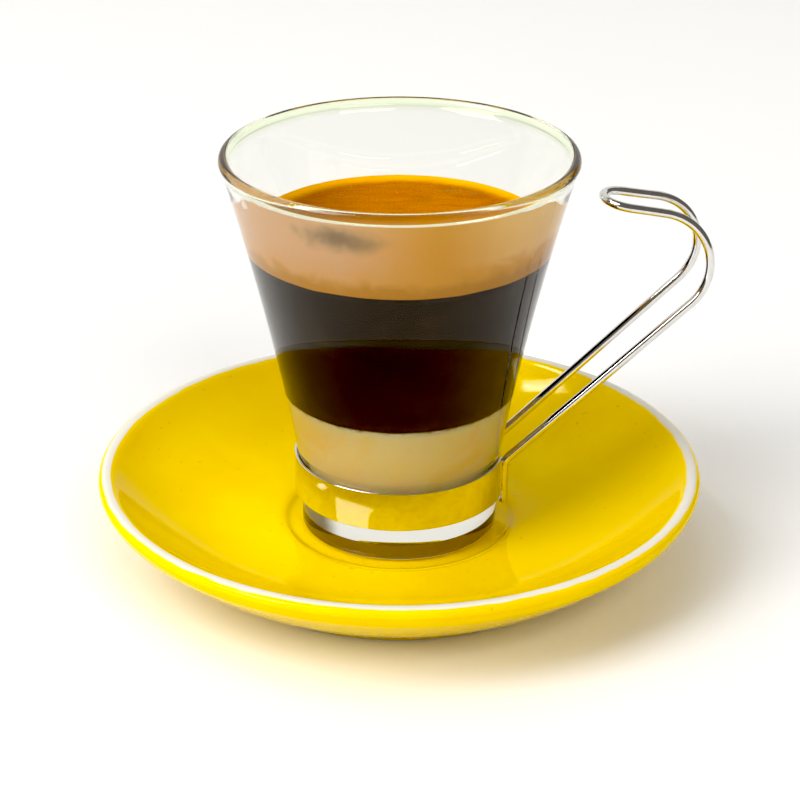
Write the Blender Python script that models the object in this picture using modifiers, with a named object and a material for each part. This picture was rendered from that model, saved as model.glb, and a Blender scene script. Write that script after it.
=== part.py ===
"""Glass of cafe bombon: a conical espresso glass in a steel band with a wire handle, standing
on a saucer, holding condensed milk, coffee and crema in layers.

Metres, +Z up. The origin is on the glass's axis at table level, and the handle points along +X.
"""

import math

import bpy

MM = 0.001
STEPS = 64  # sides of every turned shape
GAP = 0.3 * MM  # between pieces that touch on the real thing

# Saucer
SAUCER_RADIUS = 61.1 * MM
SAUCER_HEIGHT = 19.1 * MM
LIP_INNER_RADIUS = 57.9 * MM
WELL_RADIUS = 22.0 * MM
WELL_HEIGHT = 6.3 * MM
STEP_RADIUS = 24.6 * MM
STEP_HEIGHT = 7.1 * MM
DISH_POWER = 2.3  # how late the dish curves up to its lip
FOOT_INNER_RADIUS = 36.0 * MM
FOOT_OUTER_RADIUS = 39.2 * MM
FOOT_RECESS = 1.9 * MM

# Glass
GLASS_BASE = WELL_HEIGHT + GAP
RIM_RADIUS = 35.0 * MM
RIM_TOP = 85.55 * MM
RIM_ROUND = 1.15 * MM
WALL = 2.27 * MM  # measured level
FOOT_RADIUS = 20.2 * MM
CONE_START = 24.6 * MM  # height where the foot becomes the cone
CONE_SLOPE = 0.2000  # outward per metre of height, at the start of the cone
CONE_FLARE = 0.000712 / MM  # growth of that slope
FLOOR_HEIGHT = 15.2 * MM
FLOOR_ROUND = 3.5 * MM
PUNT_RADIUS = 15.8 * MM
PUNT_DEPTH = 0.9 * MM

# Drink
MILK_TOP = 36.3 * MM
COFFEE_TOP = 67.5 * MM
CREMA_TOP = 69.8 * MM
MENISCUS = 0.5 * MM

# Steel band
BAND_RADIUS = 21.3 * MM
BAND_THICKNESS = 0.55 * MM
BAND_BOTTOM = 14.15 * MM
BAND_TOP = 22.25 * MM
BAND_ARC_POINTS = 64

# Wire handle
WIRE_RADIUS = 0.9 * MM
LEG_X = 20.75 * MM
LEG_BOTTOM = 11.8 * MM
LEG_TOP = 19.3 * MM
LEG_HALF_GAP = 5.4 * MM  # from the middle plane to each wire, at the band
SHOULDER_HALF_GAP = 6.7 * MM  # where the slope ends
TIP_HALF_GAP = 4.9 * MM  # at the closed end
HEEL_BEND = 3.7 * MM
SLOPE_ANGLE = math.radians(42.75)
SLOPE_LENGTH = 48.0 * MM
SHOULDER_BEND = 10.7 * MM
TIP_ANGLE = math.radians(170.2)  # direction of the run to the closed end
TIP_LENGTH = 6.9 * MM


def clear_scene():
    for obj in list(bpy.data.objects):
        bpy.data.objects.remove(obj, do_unlink=True)


def new_material(name, color, roughness, metallic=0.0, transmission=0.0):
    material = bpy.data.materials.new(name)
    material.use_nodes = True
    shader = material.node_tree.nodes["Principled BSDF"]
    shader.inputs["Base Color"].default_value = (*color, 1.0)
    shader.inputs["Roughness"].default_value = roughness
    shader.inputs["Metallic"].default_value = metallic
    shader.inputs["Transmission Weight"].default_value = transmission
    return material


def add_object(name, data, material, collection):
    obj = bpy.data.objects.new(name, data)
    data.materials.append(material)
    collection.objects.link(obj)
    return obj


def arc(center, radius, start, end, points):
    """Points on an arc in the (radius, height) plane, angles in degrees."""
    found = []
    for i in range(points):
        angle = math.radians(start + (end - start) * i / (points - 1))
        found.append((center[0] + radius * math.cos(angle), center[1] + radius * math.sin(angle)))
    return found


def turned(name, profile, material, collection):
    """A solid of revolution: the profile runs from the axis out, down the outer side, and back."""
    mesh = bpy.data.meshes.new(name)
    corners = [(radius, 0.0, height) for radius, height in profile]
    mesh.from_pydata(corners, [(i, i + 1) for i in range(len(corners) - 1)], [])
    obj = add_object(name, mesh, material, collection)
    screw = obj.modifiers.new("Turn", "SCREW")
    screw.axis = "Z"
    screw.steps = STEPS
    screw.render_steps = STEPS
    screw.use_merge_vertices = True
    screw.merge_threshold = 0.1 * GAP
    screw.use_smooth_shade = True
    return obj


def dish_height(radius):
    """Upper face of the saucer between the step round its well and its lip."""
    rise = SAUCER_HEIGHT - 0.5 * MM - STEP_HEIGHT
    share = (radius - STEP_RADIUS) / (LIP_INNER_RADIUS - STEP_RADIUS)
    return STEP_HEIGHT + rise * share**DISH_POWER


def saucer_profile():
    dish_points = 11
    dish = []
    for i in range(dish_points):
        radius = STEP_RADIUS + (LIP_INNER_RADIUS - STEP_RADIUS) * i / (dish_points - 1)
        dish.append((radius, dish_height(radius)))
    lip = [
        (LIP_INNER_RADIUS + 0.8 * MM, SAUCER_HEIGHT - 0.1 * MM),
        (LIP_INNER_RADIUS + 1.7 * MM, SAUCER_HEIGHT),
        (SAUCER_RADIUS - 0.85 * MM, SAUCER_HEIGHT - 0.2 * MM),
        (SAUCER_RADIUS - 0.25 * MM, SAUCER_HEIGHT - 0.65 * MM),
        (SAUCER_RADIUS, SAUCER_HEIGHT - 1.4 * MM),
        (SAUCER_RADIUS - 0.2 * MM, SAUCER_HEIGHT - 2.2 * MM),
    ]
    flank = [
        (60.2 * MM, 15.5 * MM),
        (58.5 * MM, 13.8 * MM),
        (54.6 * MM, 10.6 * MM),
        (50.2 * MM, 7.3 * MM),
        (45.6 * MM, 4.3 * MM),
        (42.0 * MM, 2.2 * MM),
    ]
    foot = [
        (FOOT_OUTER_RADIUS + 0.9 * MM, 0.9 * MM),
        (FOOT_OUTER_RADIUS + 0.3 * MM, 0.25 * MM),
        (FOOT_OUTER_RADIUS - 0.4 * MM, 0.0),
        (FOOT_INNER_RADIUS + 0.4 * MM, 0.0),
        (FOOT_INNER_RADIUS - 0.3 * MM, 0.4 * MM),
        (FOOT_INNER_RADIUS - 1.0 * MM, FOOT_RECESS),
    ]
    well = [(0.0, WELL_HEIGHT), (WELL_RADIUS, WELL_HEIGHT)]
    middle = (WELL_RADIUS + STEP_RADIUS) / 2
    step = [(middle, (WELL_HEIGHT + STEP_HEIGHT) / 2)]
    return well + step + dish + lip + flank + foot + [(0.0, FOOT_RECESS)]


def outer_radius(height):
    """Outside of the glass above its rounded heel."""
    above = max(0.0, height - CONE_START)
    return FOOT_RADIUS + CONE_SLOPE * above + CONE_FLARE * above**2


def inner_radius(height):
    return outer_radius(height) - WALL


def heights(low, high, points):
    return [low + (high - low) * i / (points - 1) for i in range(points)]


def glass_profile():
    bowl_low = FLOOR_HEIGHT + FLOOR_ROUND
    bowl_high = RIM_TOP - 1.9 * RIM_ROUND
    floor_center = (inner_radius(bowl_low) - FLOOR_ROUND, bowl_low)
    rim_center = (RIM_RADIUS - RIM_ROUND, RIM_TOP - RIM_ROUND)
    inner = [(0.0, FLOOR_HEIGHT)] + arc(floor_center, FLOOR_ROUND, -90, 0, 6)
    inner += [(inner_radius(z), z) for z in heights(CONE_START, bowl_high, 8)]
    rim = arc(rim_center, RIM_ROUND, 170, -10, 9)
    outer = [(outer_radius(z), z) for z in reversed(heights(CONE_START, bowl_high, 8))]
    heel = [
        (FOOT_RADIUS, GLASS_BASE + 5.0 * MM),
        (FOOT_RADIUS - 0.3 * MM, GLASS_BASE + 2.6 * MM),
        (FOOT_RADIUS - 0.7 * MM, GLASS_BASE + 1.1 * MM),
        (FOOT_RADIUS - 1.3 * MM, GLASS_BASE + 0.35 * MM),
        (FOOT_RADIUS - 2.2 * MM, GLASS_BASE),
    ]
    punt = [
        (PUNT_RADIUS + 0.9 * MM, GLASS_BASE),
        (PUNT_RADIUS, GLASS_BASE + 0.3 * PUNT_DEPTH),
        (0.6 * PUNT_RADIUS, GLASS_BASE + 0.8 * PUNT_DEPTH),
        (0.0, GLASS_BASE + PUNT_DEPTH),
    ]
    return inner + rim + outer + heel + punt


def milk_profile():
    """Rounded below like the inside of the glass."""
    rounded = FLOOR_ROUND - GAP
    center = (inner_radius(FLOOR_HEIGHT) - FLOOR_ROUND, FLOOR_HEIGHT + FLOOR_ROUND)
    top = MILK_TOP - GAP / 2
    side = [(inner_radius(z) - GAP, z) for z in reversed(heights(CONE_START, top, 4))]
    return [(0.0, top)] + side + arc(center, rounded, 0, -90, 6) + [(0.0, FLOOR_HEIGHT + GAP)]


def coffee_profile():
    low = MILK_TOP + GAP / 2
    high = COFFEE_TOP - GAP / 2
    side = [(inner_radius(z) - GAP, z) for z in reversed(heights(low, high, 6))]
    return [(0.0, high)] + side + [(0.0, low)]


def crema_profile():
    """Its face creeps a little up the glass all round."""
    low = COFFEE_TOP + GAP / 2
    edge = inner_radius(CREMA_TOP) - GAP
    top = [
        (0.0, CREMA_TOP),
        (edge - 4.0 * MM, CREMA_TOP),
        (edge - 1.6 * MM, CREMA_TOP + 0.12 * MM),
        (edge - 0.6 * MM, CREMA_TOP + 0.3 * MM),
        (edge, CREMA_TOP + MENISCUS),
    ]
    return top + [(inner_radius(low) - GAP, low), (0.0, low)]


def band_outline():
    """The open strap seen from above, from the near wire round the glass to the far one."""
    leg_radius = math.hypot(LEG_X, LEG_HALF_GAP)
    leg_angle = math.atan2(LEG_HALF_GAP, LEG_X)
    start = leg_angle + (WIRE_RADIUS + GAP) / leg_radius
    sweep = 2 * math.pi - 2 * start
    angles = [start + sweep * i / (BAND_ARC_POINTS - 1) for i in range(BAND_ARC_POINTS)]
    inside = BAND_RADIUS - BAND_THICKNESS
    outer = [(BAND_RADIUS * math.cos(a), BAND_RADIUS * math.sin(a)) for a in angles]
    inner = [(inside * math.cos(a), inside * math.sin(a)) for a in reversed(angles)]
    return outer + inner


def build_band(material, collection):
    curve = bpy.data.curves.new("band", "CURVE")
    curve.dimensions = "2D"
    curve.fill_mode = "BOTH"
    curve.extrude = (BAND_TOP - BAND_BOTTOM) / 2
    outline = band_outline()
    spline = curve.splines.new("POLY")
    spline.points.add(len(outline) - 1)
    for point, (x, y) in zip(spline.points, outline):
        point.co = (x, y, 0.0, 1.0)
    spline.use_cyclic_u = True
    band = add_object("band", curve, material, collection)
    band.location.z = (BAND_TOP + BAND_BOTTOM) / 2
    return band


def handle_side():
    """One wire of the handle in its own plane, as (x, z), from its foot to the closed end, and
    the index of the point where its slope ends.
    """
    heel_center = (LEG_X + HEEL_BEND, LEG_TOP)
    path = [(LEG_X, LEG_BOTTOM), (LEG_X, (LEG_BOTTOM + LEG_TOP) / 2)]
    path += arc(heel_center, HEEL_BEND, 180, 90 + math.degrees(SLOPE_ANGLE), 6)
    x, z = path[-1]
    for share in (1 / 3, 2 / 3, 1):
        along = SLOPE_LENGTH * share
        path.append((x + along * math.cos(SLOPE_ANGLE), z + along * math.sin(SLOPE_ANGLE)))
    slope_end = len(path) - 1
    x, z = path[-1]
    shoulder = (x - SHOULDER_BEND * math.sin(SLOPE_ANGLE), z + SHOULDER_BEND * math.cos(SLOPE_ANGLE))
    start = math.degrees(SLOPE_ANGLE) - 90
    path += arc(shoulder, SHOULDER_BEND, start, math.degrees(TIP_ANGLE) - 90, 16)[1:]
    x, z = path[-1]
    path.append((x + TIP_LENGTH * math.cos(TIP_ANGLE), z + TIP_LENGTH * math.sin(TIP_ANGLE)))
    return path, slope_end


def half_gaps(path, slope_end):
    """Distance of the wire from the middle plane at each point: largest where the slope ends."""
    travel = [0.0]
    for (x0, z0), (x1, z1) in zip(path, path[1:]):
        travel.append(travel[-1] + math.hypot(x1 - x0, z1 - z0))
    widest = travel[slope_end]
    found = []
    for length in travel:
        if length <= widest:
            share = length / widest
            found.append(LEG_HALF_GAP + (SHOULDER_HALF_GAP - LEG_HALF_GAP) * share)
        else:
            share = (length - widest) / (travel[-1] - widest)
            found.append(SHOULDER_HALF_GAP + (TIP_HALF_GAP - SHOULDER_HALF_GAP) * share)
    return found


def tip_bend(x, z, points=10):
    """The half circle that joins the two wires at the closed end, without its two ends."""
    found = []
    for i in range(1, points):
        angle = math.pi * (i / points - 0.5)
        reach = TIP_HALF_GAP * math.cos(angle)
        side = TIP_HALF_GAP * math.sin(angle)
        found.append((x + reach * math.cos(TIP_ANGLE), side, z + reach * math.sin(TIP_ANGLE)))
    return found


def handle_path():
    side, slope_end = handle_side()
    gaps = half_gaps(side, slope_end)
    near = [(x, -gap, z) for (x, z), gap in zip(side, gaps)]
    far = [(x, gap, z) for (x, z), gap in zip(side, gaps)]
    return near + tip_bend(*side[-1]) + far[::-1]


def build_handle(material, collection):
    curve = bpy.data.curves.new("handle_wire", "CURVE")
    curve.dimensions = "3D"
    curve.bevel_depth = WIRE_RADIUS
    curve.bevel_resolution = 3
    curve.use_fill_caps = True
    path = handle_path()
    spline = curve.splines.new("POLY")
    spline.points.add(len(path) - 1)
    for point, place in zip(spline.points, path):
        point.co = (*place, 1.0)
    spline.use_smooth = True
    return add_object("handle_wire", curve, material, collection)


def main():
    clear_scene()
    parts = bpy.data.collections.new("cafe_bombon")
    bpy.context.scene.collection.children.link(parts)

    glaze = new_material("yellow_glaze", (0.95, 0.62, 0.0), 0.12)
    clear_glass = new_material("clear_glass", (0.97, 0.99, 0.97), 0.0, transmission=1.0)
    steel = new_material("polished_steel", (0.72, 0.71, 0.69), 0.12, metallic=1.0)
    milk = new_material("condensed_milk", (0.78, 0.58, 0.27), 0.35)
    coffee = new_material("coffee", (0.012, 0.004, 0.002), 0.1)
    crema = new_material("crema", (0.62, 0.25, 0.04), 0.4)

    turned("saucer", saucer_profile(), glaze, parts)
    turned("glass", glass_profile(), clear_glass, parts)
    turned("condensed_milk", milk_profile(), milk, parts)
    turned("coffee", coffee_profile(), coffee, parts)
    turned("crema", crema_profile(), crema, parts)
    build_band(steel, parts)
    build_handle(steel, parts)


main()
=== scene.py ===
import math
import random

import bpy
from mathutils import Matrix, Vector


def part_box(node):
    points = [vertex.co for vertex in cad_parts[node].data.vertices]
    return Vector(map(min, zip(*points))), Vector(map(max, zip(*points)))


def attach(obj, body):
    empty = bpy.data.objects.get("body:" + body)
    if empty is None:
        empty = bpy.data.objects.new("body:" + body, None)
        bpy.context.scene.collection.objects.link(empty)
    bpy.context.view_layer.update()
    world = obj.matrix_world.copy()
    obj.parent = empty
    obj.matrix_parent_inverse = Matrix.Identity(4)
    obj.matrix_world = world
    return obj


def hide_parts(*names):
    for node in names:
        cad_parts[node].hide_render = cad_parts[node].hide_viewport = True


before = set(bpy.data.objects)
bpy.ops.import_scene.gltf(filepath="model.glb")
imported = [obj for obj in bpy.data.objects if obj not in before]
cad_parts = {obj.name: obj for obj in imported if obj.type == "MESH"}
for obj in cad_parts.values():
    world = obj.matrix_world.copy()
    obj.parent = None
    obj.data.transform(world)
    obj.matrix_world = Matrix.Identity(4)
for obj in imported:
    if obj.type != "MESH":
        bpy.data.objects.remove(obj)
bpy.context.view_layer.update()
mm = 0.001
mergeGap = 0.004 * mm
seamGap = 0.01 * mm  # how near to a seam a vertex counts as on it

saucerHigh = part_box("saucer")[1]
glassLow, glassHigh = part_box("glass")
bandLow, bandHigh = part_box("band")
milkLow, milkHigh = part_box("condensed_milk")
coffeeLow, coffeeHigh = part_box("coffee")
cremaLow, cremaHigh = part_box("crema")
print("frame loaded:", ", ".join(sorted(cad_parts)))

# the viewer stands turned by this angle from -Y; patterns and lights follow the viewer
viewTurn = math.radians(-5.4)
viewRight = Vector((math.cos(viewTurn), math.sin(viewTurn), 0))
viewAhead = Vector((-math.sin(viewTurn), math.cos(viewTurn), 0))


# helpers for modelling

def clearSelection():
    bpy.ops.object.select_all(action="DESELECT")


def makeActive(piece):
    clearSelection()
    piece.select_set(True)
    bpy.context.view_layer.objects.active = piece


def arcPoints(center, radius, start, end, count):
    angles = [math.radians(start + (end - start) * i / (count - 1)) for i in range(count)]
    return [(center[0] + radius * math.cos(a), center[1] + radius * math.sin(a)) for a in angles]


def smoothLine(points, perSpan):
    # a soft curve through all the points
    padded = [points[0]] + list(points) + [points[-1]]
    found = []
    for spans in zip(padded, padded[1:], padded[2:], padded[3:]):
        for i in range(perSpan):
            t = i / perSpan
            found.append(tuple(
                0.5 * (
                    2 * b
                    + (c - a) * t
                    + (2 * a - 5 * b + 4 * c - d) * t**2
                    + (3 * b - a - 3 * c + d) * t**3
                )
                for a, b, c, d in zip(*spans)
            ))
    return found + [tuple(points[-1])]


def evenly(low, high, count):
    return [low + (high - low) * i / (count - 1) for i in range(count)]


def startChain(name, points):
    # a plane merged to one vertex, then pulled from point to point
    clearSelection()
    bpy.ops.mesh.primitive_plane_add(size=mm)
    piece = bpy.context.object
    piece.name = name
    piece.data.name = name
    bpy.ops.object.mode_set(mode="EDIT")
    bpy.ops.mesh.merge(type="CENTER")
    bpy.ops.transform.translate(value=points[0])
    for here, there in zip(points, points[1:]):
        bpy.ops.mesh.extrude_region_move(TRANSFORM_OT_translate={"value": there - here})
    return piece


def spinChain(name, profile, steps):
    # the profile turned once round the axis, still in edit mode
    piece = startChain(name, [Vector((radius, 0, height)) for radius, height in profile])
    bpy.ops.mesh.select_all(action="SELECT")
    bpy.ops.mesh.spin(steps=steps, angle=math.tau, center=(0, 0, 0), axis=(0, 0, 1))
    bpy.ops.mesh.select_all(action="SELECT")
    bpy.ops.mesh.remove_doubles(threshold=mergeGap)
    return piece


def turnPiece(name, profile, steps):
    piece = spinChain(name, profile, steps)
    bpy.ops.mesh.normals_make_consistent(inside=False)
    bpy.ops.object.mode_set(mode="OBJECT")
    bpy.ops.object.shade_smooth()
    return piece


def ripple(piece, picked, direction, grain, height):
    # cloudy unevenness kept in the mesh; picked says how strongly each place moves, from 0 to 1
    group = piece.vertex_groups.new(name="uneven")
    for vertex in piece.data.vertices:
        weight = float(picked(vertex.co))
        if weight > 0:
            group.add([vertex.index], weight, "REPLACE")
    clouds = bpy.data.textures.new(piece.name + "Clouds", "CLOUDS")
    clouds.noise_scale = grain
    clouds.noise_depth = 2
    displace = piece.modifiers.new("uneven", "DISPLACE")
    displace.texture = clouds
    displace.texture_coords = "GLOBAL"
    displace.direction = direction
    displace.mid_level = 0.5
    displace.strength = height
    displace.vertex_group = group.name
    makeActive(piece)
    bpy.ops.object.modifier_apply(modifier=displace.name)
    piece.vertex_groups.clear()


def giveWall(piece, thickness):
    # faces point outwards, and the wall grows inwards
    wall = piece.modifiers.new("wall", "SOLIDIFY")
    wall.thickness = thickness
    wall.offset = -1
    bpy.ops.object.modifier_apply(modifier=wall.name)


def roundEdges(piece, width, angle):
    rounding = piece.modifiers.new("rounding", "BEVEL")
    rounding.width = width
    rounding.segments = 3
    rounding.limit_method = "ANGLE"
    rounding.angle_limit = math.radians(angle)
    bpy.ops.object.modifier_apply(modifier=rounding.name)


def joinPieces(pieces, name):
    clearSelection()
    for piece in pieces:
        piece.select_set(True)
    bpy.context.view_layer.objects.active = pieces[0]
    bpy.ops.object.join()
    joined = bpy.context.object
    joined.name = name
    bpy.ops.object.transform_apply(location=True, rotation=True, scale=True)
    bpy.ops.object.shade_smooth()
    return joined


def finishPiece(piece, material, slotName, *nodeNames):
    piece.data.materials.clear()
    piece.data.materials.append(material)
    if nodeNames:
        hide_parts(*nodeNames)
    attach(piece, "root")


# helpers for materials

def newMaterial(name, **values):
    material = bpy.data.materials.new(name)
    material.use_nodes = True
    shader = material.node_tree.nodes["Principled BSDF"]
    for key, value in values.items():
        shader.inputs[key.replace("_", " ")].default_value = value
    return material, material.node_tree, shader


def addNode(tree, kind, inputs, **settings):
    made = tree.nodes.new(kind)
    for key, value in settings.items():
        setattr(made, key, value)
    for key, value in inputs.items():
        if isinstance(value, bpy.types.NodeSocket):
            tree.links.new(value, made.inputs[key])
        else:
            made.inputs[key].default_value = value
    return made


def objectPlace(tree):
    return addNode(tree, "ShaderNodeTexCoord", {}).outputs["Object"]


def heightOf(tree, place):
    return addNode(tree, "ShaderNodeSeparateXYZ", {0: place}).outputs["Z"]


def radiusOf(tree, place):
    flat = vectorMaths(tree, "MULTIPLY", place, (1, 1, 0)).outputs[0]
    return vectorMaths(tree, "LENGTH", flat, (0, 0, 0)).outputs["Value"]


def towardsViewer(tree, place):
    # turned so that Y runs away from the viewer
    return addNode(tree, "ShaderNodeMapping", {"Vector": place, "Rotation": (0, 0, -viewTurn)}).outputs[0]


def maths(tree, operation, first, second=0.0):
    return addNode(tree, "ShaderNodeMath", {0: first, 1: second}, operation=operation).outputs[0]


def times(tree, first, second):
    return maths(tree, "MULTIPLY", first, second)


def vectorMaths(tree, operation, first, second):
    return addNode(tree, "ShaderNodeVectorMath", {0: first, 1: second}, operation=operation)


def spread(tree, value, low, high, newLow=0.0, newHigh=1.0):
    # maps low..high to newLow..newHigh with soft ends
    made = addNode(tree, "ShaderNodeMapRange", {
        "Value": value, "From Min": low, "From Max": high, "To Min": newLow, "To Max": newHigh,
    }, interpolation_type="SMOOTHSTEP")
    return made.outputs["Result"]


def cloudy(tree, place, grain, detail=2.0, twist=0.0):
    # noise whose blotches are about the given size across
    made = addNode(tree, "ShaderNodeTexNoise", {
        "Vector": place, "Scale": 1 / grain, "Detail": detail, "Distortion": twist,
    })
    return made.outputs["Fac"]


def blend(tree, factor, first, second):
    made = addNode(tree, "ShaderNodeMix", {0: factor, 6: first, 7: second}, data_type="RGBA")
    return made.outputs[2]


def giveBump(tree, shader, height, depth, strength=1.0):
    bump = addNode(tree, "ShaderNodeBump", {"Height": height, "Distance": depth, "Strength": strength})
    tree.links.new(bump.outputs["Normal"], shader.inputs["Normal"])


saucer = {
    "steps": 224,
    "lipInner": 57.9 * mm,
    "wellRadius": 21.2 * mm,
    "wellHeight": 6.3 * mm,
    "stepRadius": 24.6 * mm,
    "stepHeight": 7.1 * mm,
    "dishPower": 2.6,
    # radius and height in mm, from the lip's side down to the foot
    "underside": ((60.2, 15.5), (58.5, 13.8), (54.6, 10.6), (50.2, 7.3), (45.6, 4.3), (42.0, 2.2)),
    "footInner": 36.0 * mm,
    "footOuter": 39.2 * mm,
    "footRecess": 1.9 * mm,
    "yellow": (0.87, 0.625, 0.0, 1),
    "yellowDeep": (0.83, 0.575, 0.0, 1),
    "white": (0.69, 0.66, 0.585, 1),
    "bareClay": (0.66, 0.60, 0.50, 1),
    "pinhole": (0.55, 0.30, 0.02, 1),
    "mottleSize": 22 * mm,
    "pinholeSize": 1.1 * mm,
    "bareBelow": 0.35 * mm,
    "glossSize": 5 * mm,
    "waveSize": 4 * mm,
    "waveDepth": 0.012 * mm,
    "ragged": 0.35 * mm,
    "raggedSize": 6 * mm,
    # the white lip's edge isn't quite round the middle
    "whiteShift": viewRight * (-0.6 * mm) + viewAhead * (-0.3 * mm),
    "whiteBottom": 18.9 * mm,
}


def dishHeight(radius):
    rise = saucerHigh.z - 0.5 * mm - saucer["stepHeight"]
    share = (radius - saucer["stepRadius"]) / (saucer["lipInner"] - saucer["stepRadius"])
    return saucer["stepHeight"] + rise * max(0.0, share) ** saucer["dishPower"]


def makeGlaze():
    material, tree, shader = newMaterial("yellowGlaze", IOR=1.5, Specular_IOR_Level=0.42)
    place = objectPlace(tree)
    height = heightOf(tree, place)
    fromCenter = vectorMaths(tree, "SUBTRACT", place, saucer["whiteShift"]).outputs[0]
    ragged = times(tree, cloudy(tree, place, saucer["raggedSize"]), saucer["ragged"])
    edge = maths(tree, "ADD", radiusOf(tree, fromCenter), ragged)
    lipEdge = saucer["lipInner"] + 0.1 * mm
    overLip = spread(tree, edge, lipEdge, lipEdge + 0.2 * mm)
    whiteLow = saucer["whiteBottom"]
    aboveSide = spread(tree, maths(tree, "ADD", height, ragged), whiteLow, whiteLow + 0.3 * mm)
    whitePart = times(tree, overLip, aboveSide)
    mottle = cloudy(tree, place, saucer["mottleSize"], 3.0)
    yellow = blend(tree, spread(tree, mottle, 0.35, 0.65), saucer["yellow"], saucer["yellowDeep"])
    pinholes = spread(tree, cloudy(tree, place, saucer["pinholeSize"], 0.0), 0.80, 0.84)
    yellow = blend(tree, times(tree, pinholes, 0.35), yellow, saucer["pinhole"])
    color = blend(tree, whitePart, yellow, saucer["white"])
    bare = spread(tree, height, saucer["bareBelow"], saucer["bareBelow"] - 0.2 * mm)
    color = blend(tree, bare, color, saucer["bareClay"])
    tree.links.new(color, shader.inputs["Base Color"])
    gloss = spread(tree, cloudy(tree, place, saucer["glossSize"], 4.0), 0.3, 0.7, 0.05, 0.11)
    rough = maths(tree, "ADD", gloss, times(tree, bare, 0.5))
    tree.links.new(rough, shader.inputs["Roughness"])
    giveBump(tree, shader, cloudy(tree, place, saucer["waveSize"], 1.0), saucer["waveDepth"])
    return material


def makeSaucer():
    lipInner = saucer["lipInner"]
    outside = saucerHigh.x
    top = saucerHigh.z
    wellRadius, wellHeight = saucer["wellRadius"], saucer["wellHeight"]
    stepRadius, stepHeight = saucer["stepRadius"], saucer["stepHeight"]
    well = [(0, wellHeight)] + [(r, wellHeight) for r in evenly(6 * mm, wellRadius, 5)]
    step = smoothLine([
        (wellRadius, wellHeight),
        (wellRadius + 1.2 * mm, wellHeight + 0.12 * mm),
        (stepRadius - 1.1 * mm, stepHeight - 0.2 * mm),
        (stepRadius, stepHeight),
    ], 4)[1:]
    dish = [(r, dishHeight(r)) for r in evenly(stepRadius, lipInner, 40)][1:]
    lip = smoothLine([
        dish[-1],
        (lipInner + 0.8 * mm, top - 0.1 * mm),
        (lipInner + 1.7 * mm, top),
        (outside - 0.85 * mm, top - 0.2 * mm),
        (outside - 0.25 * mm, top - 0.65 * mm),
        (outside, top - 1.4 * mm),
        (outside - 0.2 * mm, top - 2.2 * mm),
        *[(r * mm, z * mm) for r, z in saucer["underside"]],
        (saucer["footOuter"] + 0.9 * mm, 0.9 * mm),
        (saucer["footOuter"] + 0.3 * mm, 0.25 * mm),
        (saucer["footOuter"] - 0.4 * mm, 0),
    ], 5)[1:]
    foot = smoothLine([
        (saucer["footInner"] + 0.4 * mm, 0),
        (saucer["footInner"] - 0.3 * mm, 0.4 * mm),
        (saucer["footInner"] - 1.0 * mm, saucer["footRecess"]),
    ], 4)
    profile = well + step + dish + lip + foot + [(0, saucer["footRecess"])]
    piece = turnPiece("saucerDish", profile, saucer["steps"])
    finishPiece(piece, makeGlaze(), "saucer_glaze", "saucer")


makeSaucer()
print("saucer done")


glass = {
    "steps": 256,
    "wall": 2.27 * mm,
    "rimWall": 1.7 * mm,
    "thinFrom": 50 * mm,
    "beadWidth": 2.1 * mm,
    "beadHeight": 2.5 * mm,
    "footRadius": 20.48 * mm,  # where the cone starts
    "footTop": 20.53 * mm,
    "footBottom": 19.85 * mm,
    "heelHigh": 20.3 * mm,
    "heelLow": 17.0 * mm,
    "taperHigh": 14.1 * mm,
    "taperLow": 10.5 * mm,
    "coneStart": 21.6 * mm,
    "coneSlope": 0.17,
    "coneFlare": 0.93,
    "floorHeight": 15.2 * mm,
    "floorRound": 2.2 * mm,
    "puntRadius": 15.8 * mm,
    "puntDepth": 0.25 * mm,
    "waveSize": 9 * mm,
    "waveDepth": 0.02 * mm,
    "rimAbove": 0.8 * mm,
    "clear": (0.96, 0.96, 0.92, 1),
    "rim": (0.93, 1.0, 0.80, 1),
    "shine": (0.82, 0.72, 0.64, 1),
}


def outerRadius(height):
    above = max(0.0, height - glass["coneStart"])
    return glass["footRadius"] + glass["coneSlope"] * above + glass["coneFlare"] * above**2


def innerRadius(height):
    # the wall thins a little towards the rim
    share = min(1.0, max(0.0, (height - glass["thinFrom"]) / (glassHigh.z - glass["thinFrom"])))
    return outerRadius(height) - glass["wall"] + (glass["wall"] - glass["rimWall"]) * share


def makeClearGlass(name, color):
    material, tree, shader = newMaterial(
        name, Base_Color=color, Roughness=0.0, IOR=1.5,
        Transmission_Weight=1.0, Specular_Tint=glass["shine"],
    )
    place = objectPlace(tree)
    giveBump(tree, shader, cloudy(tree, place, glass["waveSize"], 1.0), glass["waveDepth"])
    return material


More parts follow.
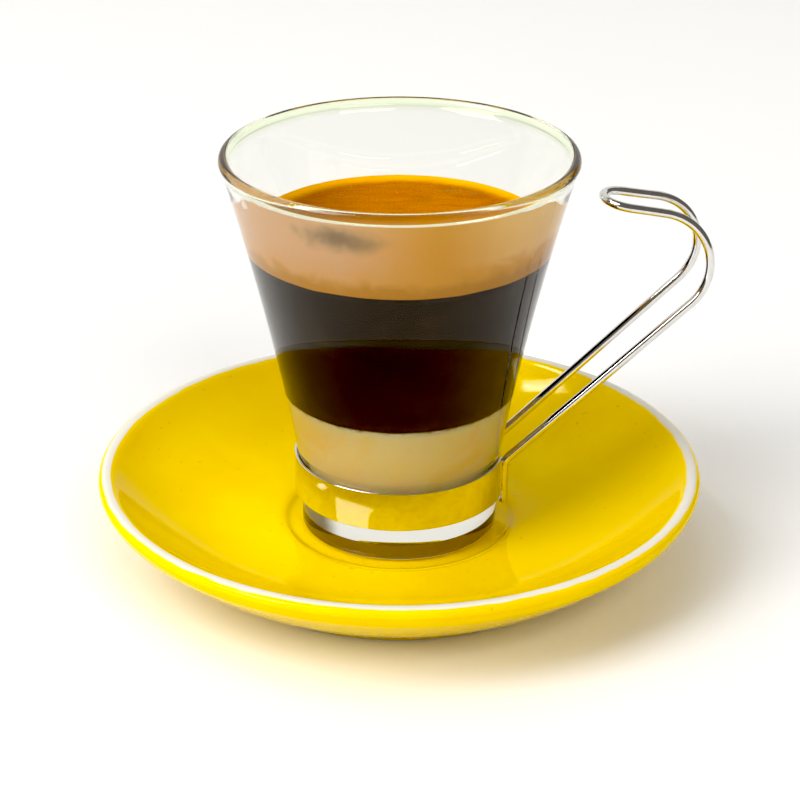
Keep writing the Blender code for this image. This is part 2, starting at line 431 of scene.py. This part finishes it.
def makeGlass():
    bowlLow = glass["floorHeight"] + glass["floorRound"]
    base = glassLow.z
    footTop, footBottom = glass["footTop"], glass["footBottom"]
    floorCenter = (innerRadius(bowlLow) - glass["floorRound"], bowlLow)
    floor = [(0, glass["floorHeight"]), (0.5 * floorCenter[0], glass["floorHeight"])]
    floor += arcPoints(floorCenter, glass["floorRound"], -90, 0, 10)
    neck = glassHigh.z - glass["beadHeight"] - 0.5 * mm
    inner = [(innerRadius(z), z) for z in evenly(glass["coneStart"], neck, 30)]
    bead = [
        (glassHigh.x + (x - 1) * glass["beadWidth"] / 2, glassHigh.z + (y - 1) * glass["beadHeight"] / 2)
        for x, y in arcPoints((0, 0), 1.0, 184, -46, 36)
    ]
    inner += smoothLine([inner[-1], bead[0]], 6)[1:]
    outer = [(outerRadius(z), z) for z in evenly(neck - 0.6 * mm, glass["coneStart"], 30)]
    underBead = neck + 0.1 * mm
    outer = smoothLine([bead[-1], (outerRadius(underBead), underBead), outer[0]], 5)[1:] + outer[1:]
    heel = smoothLine([
        outer[-1],
        (glass["footRadius"] + 0.02 * mm, glass["heelHigh"]),
        (footTop - 0.05 * mm, glass["heelLow"]),
        (footTop, glass["taperHigh"] + 0.6 * mm),
        (footTop - 0.05 * mm, glass["taperHigh"]),
        (footBottom + 0.05 * mm, glass["taperLow"]),
        (footBottom, glass["taperLow"] - 0.6 * mm),
        (footBottom, base + 0.9 * mm),
        (footBottom - 0.2 * mm, base + 0.3 * mm),
        (footBottom - 0.8 * mm, base),
    ], 5)[1:]
    punt = smoothLine([
        (glass["puntRadius"] + 0.9 * mm, base),
        (glass["puntRadius"], base + 0.3 * glass["puntDepth"]),
        (0.6 * glass["puntRadius"], base + 0.8 * glass["puntDepth"]),
        (0, base + glass["puntDepth"]),
    ], 6)
    piece = turnPiece("glassBody", floor + inner[1:] + bead[1:] + outer + heel + punt, glass["steps"])
    finishPiece(piece, makeClearGlass("clearGlass", glass["clear"]), "clear_glass", "glass")
    # the thick rim looks greener
    piece.data.materials.append(makeClearGlass("rimGlass", glass["rim"]))
    for face in piece.data.polygons:
        if face.center.z > neck + glass["rimAbove"]:
            face.material_index = 1


makeGlass()
print("glass done")


# the drink: milk, coffee and crema, each reaching just into the glass

drink = {
    "steps": 192,
    "reach": 0.05 * mm,
    "milkTop": (milkHigh.z + coffeeLow.z) / 2 - 0.3 * mm,
    "coffeeTop": (coffeeHigh.z + cremaLow.z) / 2 - 0.6 * mm,
    "cremaTop": cremaHigh.z - 0.5 * mm,
    "meniscus": 0.5 * mm,
    "seamWave": 0.35 * mm,
    "seamGrain": 7 * mm,
}


def wallRadius(height):
    return innerRadius(height) + drink["reach"]


def seamDisc(height):
    # the flat where two layers meet, from the wall to the axis
    return [(wallRadius(height) * share, height) for share in (1.0, 0.97, 0.6, 0.0)]


def waveSeam(piece, picked):
    # the same waves on both layers, so that a seam stays closed
    ripple(piece, picked, "Z", drink["seamGrain"], drink["seamWave"])


milk = {
    "cream": (1.0, 0.79, 0.52, 1),
    # the swirls' darker colour, also used as painted shade low down
    "caramelAndShade": (1.0, 0.71, 0.38, 1),
    "stain": (0.30, 0.10, 0.02, 1),
    "stainDepth": 0.8 * mm,
    "ragged": 1.2 * mm,
    "raggedSize": 1.6 * mm,
    "swirlSize": 12 * mm,
}


def makeMilkMaterial():
    material, tree, shader = newMaterial(
        "condensedMilk", Roughness=0.45, IOR=1.4, Specular_IOR_Level=0.1,
        Subsurface_Weight=1.0, Subsurface_Radius=(1.0, 0.7, 0.4), Subsurface_Scale=3.5 * mm,
    )
    place = objectPlace(tree)
    height = heightOf(tree, place)
    swirl = cloudy(tree, place, milk["swirlSize"], 3.0, 0.8)
    color = blend(tree, spread(tree, swirl, 0.40, 0.72), milk["cream"], milk["caramelAndShade"])
    # painted shade: the caramel colour is blended in towards the bottom, where the band shades the milk
    paintedLowShade = spread(tree, height, milkHigh.z - 4 * mm, milkLow.z + 6 * mm, 0.0, 0.35)
    color = blend(tree, paintedLowShade, color, milk["caramelAndShade"])
    uneven = times(tree, cloudy(tree, place, milk["raggedSize"], 3.0), milk["ragged"])
    nearTop = maths(tree, "ADD", height, uneven)
    stained = spread(tree, nearTop, milkHigh.z - 0.2 * mm, milkHigh.z + milk["stainDepth"])
    color = blend(tree, stained, color, milk["stain"])
    tree.links.new(color, shader.inputs["Base Color"])
    giveBump(tree, shader, swirl, 0.05 * mm)
    return material


coffee = {
    "dark": (0.0045, 0.0026, 0.0006, 1),
    "warm": (0.011, 0.0060, 0.001, 1),
    "red": (0.028, 0.012, 0.002, 1),
    "driftSize": 10 * mm,
    "ragged": 1.5 * mm,
    "raggedSize": 3 * mm,
}


def makeCoffeeMaterial():
    material, tree, shader = newMaterial("blackCoffee", Roughness=0.2, IOR=1.34, Specular_IOR_Level=0.05)
    place = objectPlace(tree)
    height = heightOf(tree, place)
    drift = cloudy(tree, place, coffee["driftSize"], 2.0, 0.5)
    color = blend(tree, spread(tree, drift, 0.35, 0.7), coffee["dark"], coffee["warm"])
    uneven = times(tree, cloudy(tree, place, coffee["raggedSize"], 3.0), coffee["ragged"])
    nearMilk = maths(tree, "SUBTRACT", height, uneven)
    red = spread(tree, nearMilk, coffeeLow.z + 1.2 * mm, coffeeLow.z - 0.8 * mm)
    color = blend(tree, red, color, coffee["red"])
    tree.links.new(color, shader.inputs["Base Color"])
    rough = spread(tree, drift, 0.3, 0.7, 0.15, 0.3)
    tree.links.new(rough, shader.inputs["Roughness"])
    return material


crema = {
    "golden": (0.86, 0.44, 0.05, 1),
    "deep": (0.21, 0.058, 0.002, 1),
    "middle": (0.40, 0.128, 0.003, 1),
    "streak": (0.24, 0.06, 0.002, 1),
    # the golden ring at the wall, from and to these radii
    "ringFrom": 26.2 * mm,
    "ringTo": 29.8 * mm,
    # streaks are long from left to right and narrow towards the viewer
    "streakPull": (0.35, 1.6, 1),
    "streakSize": 3.5 * mm,
    "blotchSize": 11 * mm,
    "grainSize": 0.45 * mm,
    "swellSize": 3 * mm,
    "fineSize": 0.5 * mm,
    "faceGrain": 5 * mm,
    "faceWave": 0.3 * mm,
}


def makeCremaMaterial():
    material, tree, shader = newMaterial("crema", Roughness=0.42, IOR=1.34, Specular_IOR_Level=0.35)
    place = objectPlace(tree)
    turned = towardsViewer(tree, place)
    parts = addNode(tree, "ShaderNodeSeparateXYZ", {0: turned})
    ahead = parts.outputs["Y"]
    radius = radiusOf(tree, place)
    stretched = vectorMaths(tree, "MULTIPLY", turned, crema["streakPull"]).outputs[0]
    streaks = cloudy(tree, stretched, crema["streakSize"], 5.0, 1.2)
    blotches = cloudy(tree, turned, crema["blotchSize"], 3.0, 0.6)
    toLeft = spread(tree, parts.outputs["X"], -2 * mm, -20 * mm, 0.0, 0.7)
    deeper = maths(tree, "MAXIMUM", spread(tree, blotches, 0.42, 0.68, 0.0, 0.55), toLeft)
    color = blend(tree, deeper, crema["middle"], crema["deep"])
    nearWall = maths(tree, "ADD", radius, times(tree, streaks, 2 * mm))
    toWall = spread(tree, nearWall, crema["ringFrom"], crema["ringTo"])
    farSide = spread(tree, ahead, -4 * mm, 12 * mm, 0.25, 1.0)
    color = blend(tree, times(tree, toWall, farSide), color, crema["golden"])
    grains = spread(tree, cloudy(tree, place, crema["grainSize"], 2.0), 0.3, 0.7)
    color = blend(tree, times(tree, grains, 0.18), color, crema["golden"])
    inMiddle = spread(tree, radius, 27 * mm, 18 * mm)
    strength = times(tree, spread(tree, streaks, 0.55, 0.75, 0.0, 0.5), inMiddle)
    color = blend(tree, strength, color, crema["streak"])
    tree.links.new(color, shader.inputs["Base Color"])
    tree.links.new(spread(tree, streaks, 0.3, 0.7, 0.34, 0.55), shader.inputs["Roughness"])
    swell = times(tree, cloudy(tree, place, crema["swellSize"]), 2.0)
    fine = maths(tree, "ADD", cloudy(tree, place, crema["fineSize"], 2.0), swell)
    giveBump(tree, shader, fine, 0.04 * mm)
    return material


def makeMilk():
    reach = drink["reach"]
    floor = glass["floorHeight"]
    roundness = glass["floorRound"]
    center = (innerRadius(floor) - roundness, floor + roundness)
    side = [(wallRadius(z), z) for z in evenly(drink["milkTop"], glass["coneStart"], 12)][1:]
    bottom = arcPoints(center, roundness + reach, 0, -90, 10) + [(0, floor - reach)]
    piece = turnPiece("milkLayer", seamDisc(drink["milkTop"])[::-1] + side + bottom, drink["steps"])
    waveSeam(piece, lambda p: p.z > drink["milkTop"] - seamGap)
    finishPiece(piece, makeMilkMaterial(), "condensed_milk", "condensed_milk")


def makeCoffee():
    low, high = drink["milkTop"], drink["coffeeTop"]
    side = [(wallRadius(z), z) for z in evenly(high, low, 24)][1:-1]
    piece = turnPiece("coffeeLayer", seamDisc(high)[::-1] + side + seamDisc(low), drink["steps"])
    waveSeam(piece, lambda p: p.z < low + seamGap)
    waveSeam(piece, lambda p: p.z > high - seamGap)
    finishPiece(piece, makeCoffeeMaterial(), "coffee", "coffee")


def makeCrema():
    low, high = drink["coffeeTop"], drink["cremaTop"]
    edge = wallRadius(high + drink["meniscus"])
    face = [(r, high) for r in evenly(0, edge - 4 * mm, 56)]
    face += smoothLine([
        (edge - 4 * mm, high),
        (edge - 1.6 * mm, high + 0.12 * mm),
        (edge - 0.6 * mm, high + 0.3 * mm),
        (edge, high + drink["meniscus"]),
    ], 5)[1:]
    side = [(wallRadius(z), z) for z in evenly(high, low, 6)][:-1]
    piece = turnPiece("cremaLayer", face + side + seamDisc(low), drink["steps"])
    waveSeam(piece, lambda p: p.z < low + seamGap)

    def onFace(place):
        return place.z > high - seamGap and math.hypot(place.x, place.y) < edge - 0.4 * mm

    ripple(piece, onFace, "Z", crema["faceGrain"], crema["faceWave"])
    finishPiece(piece, makeCremaMaterial(), "crema", "crema")


film = {
    "steps": 160,
    "thickness": 0.3 * mm,
    "reach": 0.04 * mm,
    "top": 82.9 * mm,
    # a slanting plane cuts the upper edge, lower towards the back
    "middleTop": 75.4 * mm,
    "tilt": 0.40,
    # and a steep one the two ends, this far behind the middle
    "backEnd": 4 * mm,
    "endSlant": 0.6,
    "edgeFade": 5 * mm,
    "edgeGrain": 5 * mm,
    "edgeWave": 2.6 * mm,
    # each color's borders, in height and from left to right; the pink colour on the upper left is a
    # painted reflection of the window, and the paler colour on the right is painted light
    "paintedReflectionHeight": (67 * mm, 79 * mm),
    "paintedReflectionSide": (8 * mm, -14 * mm),
    "paintedLightHeight": (73 * mm, 77 * mm),
    "paintedLightSide": (6 * mm, 24 * mm),
    "brownHeight": (73.5 * mm, 70.5 * mm),
    "drift": 5 * mm,
    "golden": (0.82, 0.47, 0.16, 1),
    # painted reflection of the window, pinker and paler on the upper left
    "paintedReflection": (0.82, 0.56, 0.36, 1),
    "brown": (0.58, 0.30, 0.09, 1),
    # painted light: a paler colour that brightens the film's right side
    "pale": (1.0, 0.70, 0.34, 1),
    "patch": (0.15, 0.14, 0.10, 1),
    # a dark smudge near the rim
    "patchAt": viewRight * (-10.8 * mm) - viewAhead * (28 * mm) + Vector((0, 0, 79.4 * mm)),
    "patchSize": (8.5 * mm, 12 * mm, 3.0 * mm),
    "patchTilt": -0.16,
}


def makeFilmMaterial():
    material, tree, shader = newMaterial("cremaFilm", Roughness=0.5, IOR=1.4, Specular_IOR_Level=0.1)
    place = objectPlace(tree)
    turned = towardsViewer(tree, place)
    parts = addNode(tree, "ShaderNodeSeparateXYZ", {0: turned})
    wavy = times(tree, cloudy(tree, place, film["drift"], 3.0, 0.6), film["drift"])
    height = maths(tree, "ADD", parts.outputs["Z"], wavy)
    sideways = parts.outputs["X"]
    # painted reflection: the upper left of the film turns pink and pale, as the window shows in the glass
    toLeft = spread(tree, sideways, *film["paintedReflectionSide"])
    paintedReflection = times(tree, spread(tree, height, *film["paintedReflectionHeight"]), toLeft)
    color = blend(tree, paintedReflection, film["golden"], film["paintedReflection"])
    # painted light: the film is made paler on its right, the side the window leaves darker
    toRight = spread(tree, sideways, *film["paintedLightSide"])
    pale = times(tree, toRight, spread(tree, height, *film["paintedLightHeight"]))
    color = blend(tree, pale, color, film["pale"])
    color = blend(tree, spread(tree, height, *film["brownHeight"], 0.0, 0.75), color, film["brown"])
    offset = vectorMaths(tree, "SUBTRACT", place, film["patchAt"]).outputs[0]
    patchPlace = addNode(tree, "ShaderNodeMapping", {
        "Vector": offset,
        "Rotation": (0, film["patchTilt"], -viewTurn),
        "Scale": [1 / size for size in film["patchSize"]],
    }).outputs[0]
    patchFar = vectorMaths(tree, "LENGTH", patchPlace, (0, 0, 0)).outputs["Value"]
    frayed = spread(tree, cloudy(tree, place, 4 * mm, 2.0, 0.4), 0.2, 0.8, -0.2, 0.2)
    patched = spread(tree, maths(tree, "ADD", patchFar, frayed), 1.25, 0.1, 0.0, 0.72)
    color = blend(tree, patched, color, film["patch"])
    tree.links.new(color, shader.inputs["Base Color"])
    giveBump(tree, shader, cloudy(tree, place, 1.2 * mm, 3.0), 0.03 * mm)
    return material


def makeFilm():
    # crema left on the near side of the wall, cut to a slanting upper edge
    low = drink["coffeeTop"]
    profile = [(wallRadius(z) + film["reach"], z) for z in evenly(low, film["top"], 30)]
    piece = spinChain("cremaFilm", profile, film["steps"])
    edgeAt = Vector((0, 0, film["middleTop"]))
    edgeUp = viewAhead * film["tilt"] + Vector((0, 0, 1))
    bpy.ops.mesh.bisect(plane_co=edgeAt, plane_no=edgeUp, clear_outer=True)
    bpy.ops.mesh.select_all(action="SELECT")
    endAt = viewAhead * film["backEnd"] + Vector((0, 0, drink["cremaTop"]))
    endFacing = viewAhead + Vector((0, 0, film["endSlant"]))
    bpy.ops.mesh.bisect(plane_co=endAt, plane_no=endFacing, clear_outer=True)
    bpy.ops.mesh.select_all(action="SELECT")
    bpy.ops.mesh.normals_make_consistent(inside=False)
    bpy.ops.object.mode_set(mode="OBJECT")

    def nearEdge(place):
        return 1 + (place - edgeAt).dot(edgeUp) / film["edgeFade"]

    ripple(piece, nearEdge, "Z", film["edgeGrain"], film["edgeWave"])
    giveWall(piece, film["thickness"])
    bpy.ops.object.shade_smooth_by_angle(angle=math.radians(50))
    waveSeam(piece, lambda p: p.z < low + seamGap)
    finishPiece(piece, makeFilmMaterial(), "crema")


makeMilk()
makeCoffee()
makeCrema()
makeFilm()
print("drink done")


bubbles = {
    "edgeCount": 130,
    "faceCount": 60,
    "small": 0.07 * mm,
    "large": 0.24 * mm,
    "edgeSpread": 0.45 * mm,
    "edgeClimb": 1.2 * mm,  # how far from the wall the rising edge reaches
    "faceShrink": 0.6,
    "faceClear": 2 * mm,
    "faceLift": 0.1 * mm,
    "sunk": 0.15,
    "flatness": 0.8,
    "golden": (0.85, 0.40, 0.02, 1),
    "pale": (0.95, 0.72, 0.36, 1),
}


def makeBubbleMaterial():
    material, tree, shader = newMaterial(
        "cremaBubble", Roughness=0.08, IOR=1.34, Coat_Weight=0.6, Coat_Roughness=0.03,
    )
    place = objectPlace(tree)
    color = blend(tree, cloudy(tree, place, 1.5 * mm), bubbles["golden"], bubbles["pale"])
    tree.links.new(color, shader.inputs["Base Color"])
    return material


def makeBubbles():
    dice = random.Random(12)
    clearSelection()
    bpy.ops.mesh.primitive_ico_sphere_add(subdivisions=2, radius=1.0)
    ball = bpy.context.object
    high = drink["cremaTop"]
    edge = innerRadius(high + drink["meniscus"])
    copies = []
    for i in range(bubbles["edgeCount"] + bubbles["faceCount"]):
        size = bubbles["small"] + (bubbles["large"] - bubbles["small"]) * dice.random() ** 3
        angle = dice.uniform(0, math.tau)
        if i < bubbles["edgeCount"]:
            inward = abs(dice.gauss(0, bubbles["edgeSpread"]))
            radius = edge - size - inward
            lift = drink["meniscus"] * max(0.0, 1 - inward / bubbles["edgeClimb"])
        else:
            size *= bubbles["faceShrink"]
            radius = (edge - bubbles["faceClear"]) * math.sqrt(dice.random())
            lift = bubbles["faceLift"]
        copy = ball.copy()
        copy.data = ball.data.copy()
        height = high + lift - bubbles["sunk"] * size
        copy.location = (radius * math.cos(angle), radius * math.sin(angle), height)
        copy.scale = (size, size, bubbles["flatness"] * size)
        bpy.context.scene.collection.objects.link(copy)
        copies.append(copy)
    bpy.data.objects.remove(ball)
    piece = joinPieces(copies, "cremaBubbles")
    finishPiece(piece, makeBubbleMaterial(), "crema")


makeBubbles()
print("bubbles done")


band = {
    "steps": 240,
    "radius": 21.3 * mm,
    "thickness": 0.55 * mm,
    "edgeRound": 0.14 * mm,
    "endGap": 0.1 * mm,
}

handle = {
    "wireRadius": 0.9 * mm,
    "legX": 20.75 * mm,
    "legBottom": 11.8 * mm,
    "legTop": 19.3 * mm,
    "legHalfGap": 5.4 * mm,
    "shoulderHalfGap": 6.7 * mm,
    "tipHalfGap": 4.9 * mm,
    "heelBend": 3.7 * mm,
    "slopeAngle": 42.75,
    "slopeLength": 47.97 * mm,
    "shoulderBend": 10.7 * mm,
    "tipAngle": 170.2,
    "tipLength": 6.9 * mm,
    "endRound": 0.2 * mm,
    "mergeGap": 0.01 * mm,
}
legRadius = math.hypot(handle["legX"], handle["legHalfGap"])
legTurn = math.atan2(handle["legHalfGap"], handle["legX"])


steel = {
    "bright": (0.76, 0.75, 0.73, 1),
    "dull": (0.66, 0.64, 0.61, 1),
    "bandBrush": 0.12 * mm,
    "wireBrush": 0.2 * mm,
    "smearSize": 2.2 * mm,
    "relief": 0.006 * mm,
}


def makeSteel(name, roughLow, roughHigh, alongBand):
    material, tree, shader = newMaterial(name, Metallic=1.0)
    place = objectPlace(tree)
    if alongBand:
        # brushed round the band: fine across its height, long along it
        flat = addNode(tree, "ShaderNodeSeparateXYZ", {0: place})
        turn = maths(tree, "ARCTAN2", flat.outputs["Y"], flat.outputs["X"])
        grainPlace = addNode(tree, "ShaderNodeCombineXYZ", {
            "X": times(tree, turn, 0.6 * mm), "Y": 0.0, "Z": flat.outputs["Z"],
        }).outputs[0]
        lines = cloudy(tree, grainPlace, steel["bandBrush"], 2.0)
    else:
        grainPlace = vectorMaths(tree, "MULTIPLY", place, (0.3, 1, 0.3)).outputs[0]
        lines = cloudy(tree, grainPlace, steel["wireBrush"], 2.0)
    smears = cloudy(tree, place, steel["smearSize"], 4.0, 1.0)
    rough = times(tree, spread(tree, smears, 0.3, 0.75, 0.6, 1.5), roughLow)
    rough = maths(tree, "ADD", rough, times(tree, lines, roughHigh - roughLow))
    tree.links.new(rough, shader.inputs["Roughness"])
    color = blend(tree, spread(tree, smears, 0.3, 0.8), steel["bright"], steel["dull"])
    tree.links.new(color, shader.inputs["Base Color"])
    giveBump(tree, shader, maths(tree, "ADD", smears, times(tree, lines, 0.15)), steel["relief"])
    return material


def makeBand():
    endTurn = legTurn + (handle["wireRadius"] + band["endGap"]) / legRadius
    clearSelection()
    bpy.ops.mesh.primitive_cylinder_add(
        vertices=band["steps"],
        radius=band["radius"],
        depth=bandHigh.z - bandLow.z,
        end_fill_type="NOTHING",
        location=(0, 0, (bandLow.z + bandHigh.z) / 2),
    )
    piece = bpy.context.object
    piece.name = "steelBand"
    bpy.ops.object.transform_apply(location=True)
    bpy.ops.object.mode_set(mode="EDIT")
    # cut the strap open between the legs of the handle
    for side in (1, -1):
        bpy.ops.mesh.select_all(action="SELECT")
        bpy.ops.mesh.bisect(
            plane_co=(0, 0, 0), plane_no=(-math.sin(side * endTurn), math.cos(side * endTurn), 0),
        )
    bpy.ops.mesh.select_all(action="DESELECT")
    bpy.ops.object.mode_set(mode="OBJECT")
    for face in piece.data.polygons:
        turn = math.atan2(face.center.y, face.center.x)
        face.select = abs(turn) < endTurn
    bpy.ops.object.mode_set(mode="EDIT")
    bpy.ops.mesh.delete(type="FACE")
    bpy.ops.mesh.select_all(action="SELECT")
    bpy.ops.mesh.normals_make_consistent(inside=False)
    bpy.ops.object.mode_set(mode="OBJECT")
    giveWall(piece, band["thickness"])
    roundEdges(piece, band["edgeRound"], 50)
    bpy.ops.object.shade_smooth_by_angle(angle=math.radians(40))
    finishPiece(piece, makeSteel("polishedBand", 0.06, 0.10, True), "steel", "band")


def straightPoints(start, angle, length, count):
    x, z = start
    return [(x + d * math.cos(angle), z + d * math.sin(angle)) for d in evenly(0, length, count)[1:]]


def wirePath():
    h = handle
    slope = math.radians(h["slopeAngle"])
    tip = math.radians(h["tipAngle"])
    side = [(h["legX"], z) for z in evenly(h["legBottom"], h["legTop"], 8)][:-1]
    heel = (h["legX"] + h["heelBend"], h["legTop"])
    side += arcPoints(heel, h["heelBend"], 180, 90 + h["slopeAngle"], 14)
    side += straightPoints(side[-1], slope, h["slopeLength"], 20)
    slopeEnd = len(side) - 1
    x, z = side[-1]
    shoulder = (x - h["shoulderBend"] * math.sin(slope), z + h["shoulderBend"] * math.cos(slope))
    side += arcPoints(shoulder, h["shoulderBend"], h["slopeAngle"] - 90, h["tipAngle"] - 90, 40)[1:]
    side += straightPoints(side[-1], tip, h["tipLength"], 6)
    travel = [0.0]
    for (x0, z0), (x1, z1) in zip(side, side[1:]):
        travel.append(travel[-1] + math.hypot(x1 - x0, z1 - z0))
    gaps = []
    for length in travel:
        if length < travel[slopeEnd]:
            share = length / travel[slopeEnd]
            gaps.append(h["legHalfGap"] + (h["shoulderHalfGap"] - h["legHalfGap"]) * share)
        else:
            share = (length - travel[slopeEnd]) / (travel[-1] - travel[slopeEnd])
            share = share * share * (3 - 2 * share)
            gaps.append(h["shoulderHalfGap"] + (h["tipHalfGap"] - h["shoulderHalfGap"]) * share)
    near = [Vector((x, -gap, z)) for (x, z), gap in zip(side, gaps)]
    far = [Vector((x, gap, z)) for (x, z), gap in zip(side, gaps)]
    x, z = side[-1]
    bend = []
    for angle in evenly(-90, 90, 22)[1:-1]:
        reach = h["tipHalfGap"] * math.cos(math.radians(angle))
        across = h["tipHalfGap"] * math.sin(math.radians(angle))
        bend.append(Vector((x + reach * math.cos(tip), across, z + reach * math.sin(tip))))
    return near + bend + far[::-1]


def makeHandle():
    piece = startChain("handleWire", wirePath())
    bpy.ops.object.mode_set(mode="OBJECT")
    bpy.ops.object.convert(target="CURVE")
    piece = bpy.context.object
    piece.data.bevel_depth = handle["wireRadius"]
    piece.data.bevel_resolution = 6
    piece.data.use_fill_caps = True
    bpy.ops.object.convert(target="MESH")
    piece = bpy.context.object
    piece.name = "handleWire"
    bpy.ops.object.mode_set(mode="EDIT")
    bpy.ops.mesh.select_all(action="SELECT")
    bpy.ops.mesh.remove_doubles(threshold=handle["mergeGap"])
    bpy.ops.mesh.normals_make_consistent(inside=False)
    bpy.ops.mesh.select_all(action="DESELECT")
    bpy.ops.object.mode_set(mode="OBJECT")
    roundEdges(piece, handle["endRound"], 60)
    bpy.ops.object.shade_smooth_by_angle(angle=math.radians(50))
    finishPiece(piece, makeSteel("polishedWire", 0.05, 0.10, False), "steel", "handle_wire")


welds = {
    "heights": (15.6 * mm, 18.6 * mm, 20.9 * mm),
    "wander": 0.3 * mm,
    "offLeg": 0.05 * mm,
    "sunk": 0.15 * mm,
    # half sizes: out from the glass, along the strap, and the least and most in height
    "out": 0.34 * mm,
    "along": 0.38 * mm,
    "low": 0.5 * mm,
    "high": 0.9 * mm,
    "lumpGrain": 0.5 * mm,
    "lumps": 0.12 * mm,
}


def makeWelds():
    # beads between the strap's ends and the legs
    dice = random.Random(5)
    beadTurn = legTurn + (handle["wireRadius"] + welds["offLeg"]) / legRadius
    radius = band["radius"] - welds["sunk"]
    beads = []
    for side in (1, -1):
        turn = side * beadTurn
        for height in welds["heights"]:
            clearSelection()
            z = height + dice.uniform(-welds["wander"], welds["wander"])
            place = (radius * math.cos(turn), radius * math.sin(turn), z)
            bpy.ops.mesh.primitive_uv_sphere_add(segments=24, ring_count=16, radius=1.0, location=place)
            bead = bpy.context.object
            bead.scale = (welds["out"], welds["along"], dice.uniform(welds["low"], welds["high"]))
            bead.rotation_euler.z = turn
            bpy.ops.object.transform_apply(location=True, rotation=True, scale=True)
            beads.append(bead)
    piece = joinPieces(beads, "weldBeads")
    ripple(piece, lambda p: True, "NORMAL", welds["lumpGrain"], welds["lumps"])
    finishPiece(piece, makeSteel("weldSteel", 0.18, 0.3, False), "steel")


makeBand()
makeHandle()
makeWelds()
print("band and handle done")


studio = {
    "floorSize": 8,
    "floorBlotch": 120 * mm,
    "floorColor": (0.82, 0.812, 0.80, 1),
    "floorOther": (0.84, 0.832, 0.82, 1),
    "roomColor": (1.0, 0.96, 0.90, 1),
    "roomStrength": 0.17,
    "farWhite": 0.72,
    "farColor": (1, 0.995, 0.98, 1),
    "lightsAim": Vector((0, 0, 35 * mm)),
    # these two leave no reflection
    "unseen": ("ceiling", "frontFill"),
    "lights": {
        # turn to the left of the camera, lift, distance, width, height, power
        "window": (59, 40, 2.6, 1.4, 1.9, 70),
        "ceiling": (45, 80, 2.6, 1.4, 1.4, 12),
        "frontFill": (-25, 36, 2.6, 1.5, 1.2, 33),
        "windowPane": (112, 59, 1.5, 0.09, 0.26, 0.9),
        "windowPaneNext": (106, 59, 1.5, 0.09, 0.26, 0.6),
    },
}


def makeFloor():
    clearSelection()
    bpy.ops.mesh.primitive_plane_add(size=studio["floorSize"])
    floor = bpy.context.object
    floor.name = "floor"
    material, tree, shader = newMaterial("paleTable", Roughness=0.8, Specular_IOR_Level=0.1)
    place = objectPlace(tree)
    blotches = cloudy(tree, place, studio["floorBlotch"], 3.0)
    color = blend(tree, blotches, studio["floorColor"], studio["floorOther"])
    tree.links.new(color, shader.inputs["Base Color"])
    floor.data.materials.append(material)


def makeWorld():
    world = bpy.data.worlds.new("studio")
    bpy.context.scene.world = world
    world.use_nodes = True
    background = world.node_tree.nodes["Background"]
    # a white sheet behind the set, on the side away from the viewer
    tree = world.node_tree
    direction = objectPlace(tree)
    ahead = vectorMaths(tree, "DOT_PRODUCT", direction, viewAhead).outputs["Value"]
    upward = addNode(tree, "ShaderNodeSeparateXYZ", {0: direction}).outputs["Z"]
    sideways = vectorMaths(tree, "DOT_PRODUCT", direction, viewRight).outputs["Value"]
    sheet = times(tree, spread(tree, ahead, 0.0, 0.3), spread(tree, upward, 0.82, 0.68))
    sheet = times(tree, sheet, spread(tree, sideways, 0.62, 0.42))
    color = blend(tree, sheet, studio["roomColor"], studio["farColor"])
    tree.links.new(color, background.inputs["Color"])
    strength = times(tree, sheet, studio["farWhite"])
    strength = maths(tree, "ADD", strength, studio["roomStrength"])
    tree.links.new(strength, background.inputs["Strength"])


def addSoftLight(name, turn, lift, distance, width, height, power):
    a, e = math.radians(turn), math.radians(lift)
    level = -viewRight * math.sin(a) - viewAhead * math.cos(a)
    toLight = level * math.cos(e) + Vector((0, 0, math.sin(e)))
    bpy.ops.object.light_add(type="AREA", location=studio["lightsAim"] + toLight * distance)
    light = bpy.context.object
    light.name = name
    light.data.shape = "RECTANGLE"
    light.data.size = width
    light.data.size_y = height
    light.data.energy = power
    light.rotation_euler = toLight.to_track_quat("Z", "Y").to_euler()
    light.visible_glossy = name not in studio["unseen"]


grade = {
    "saturation": 1.12,
    "black": -0.022,
    "gain": 1.022,
}


def makeGrade():
    scene = bpy.context.scene
    scene.use_nodes = True
    tree = scene.node_tree
    tree.nodes.clear()
    layers = tree.nodes.new("CompositorNodeRLayers")
    levels = tree.nodes.new("CompositorNodeColorBalance")
    levels.correction_method = "OFFSET_POWER_SLOPE"
    levels.offset_basis = grade["black"]
    levels.slope = (grade["gain"],) * 3
    richer = tree.nodes.new("CompositorNodeHueSat")
    richer.inputs["Saturation"].default_value = grade["saturation"]
    composite = tree.nodes.new("CompositorNodeComposite")
    tree.links.new(layers.outputs["Image"], levels.inputs["Image"])
    tree.links.new(levels.outputs["Image"], richer.inputs["Image"])
    tree.links.new(richer.outputs["Image"], composite.inputs["Image"])


aim = {
    "distance": 438.26 * mm,
    "height": 238.31 * mm,
    "pitch": 25.131,
    "roll": 0.089,
    "sensor": 36,
    "lens": 108.05,
    "shiftX": 0.0008,
}


def makeCamera():
    place = -viewAhead * aim["distance"] + Vector((0, 0, aim["height"]))
    turned = (
        Matrix.Rotation(viewTurn, 4, "Z")
        @ Matrix.Rotation(math.radians(90 - aim["pitch"]), 4, "X")
        @ Matrix.Rotation(math.radians(aim["roll"]), 4, "Z")
    )
    bpy.ops.object.camera_add(location=place, rotation=turned.to_euler())
    camera = bpy.context.object
    camera.data.sensor_width = aim["sensor"]
    camera.data.lens = aim["lens"]
    camera.data.shift_x = aim["shiftX"]
    camera.data.clip_start = 0.01
    camera.data.clip_end = 30
    bpy.context.scene.camera = camera


makeFloor()
makeWorld()
for name, values in studio["lights"].items():
    addSoftLight(name, *values)
makeCamera()
makeGrade()
scene = bpy.context.scene
scene.view_settings.view_transform = "Standard"
scene.view_settings.look = "None"
scene.cycles.glossy_bounces = 8
scene.cycles.transmission_bounces = 16
print("stage done")
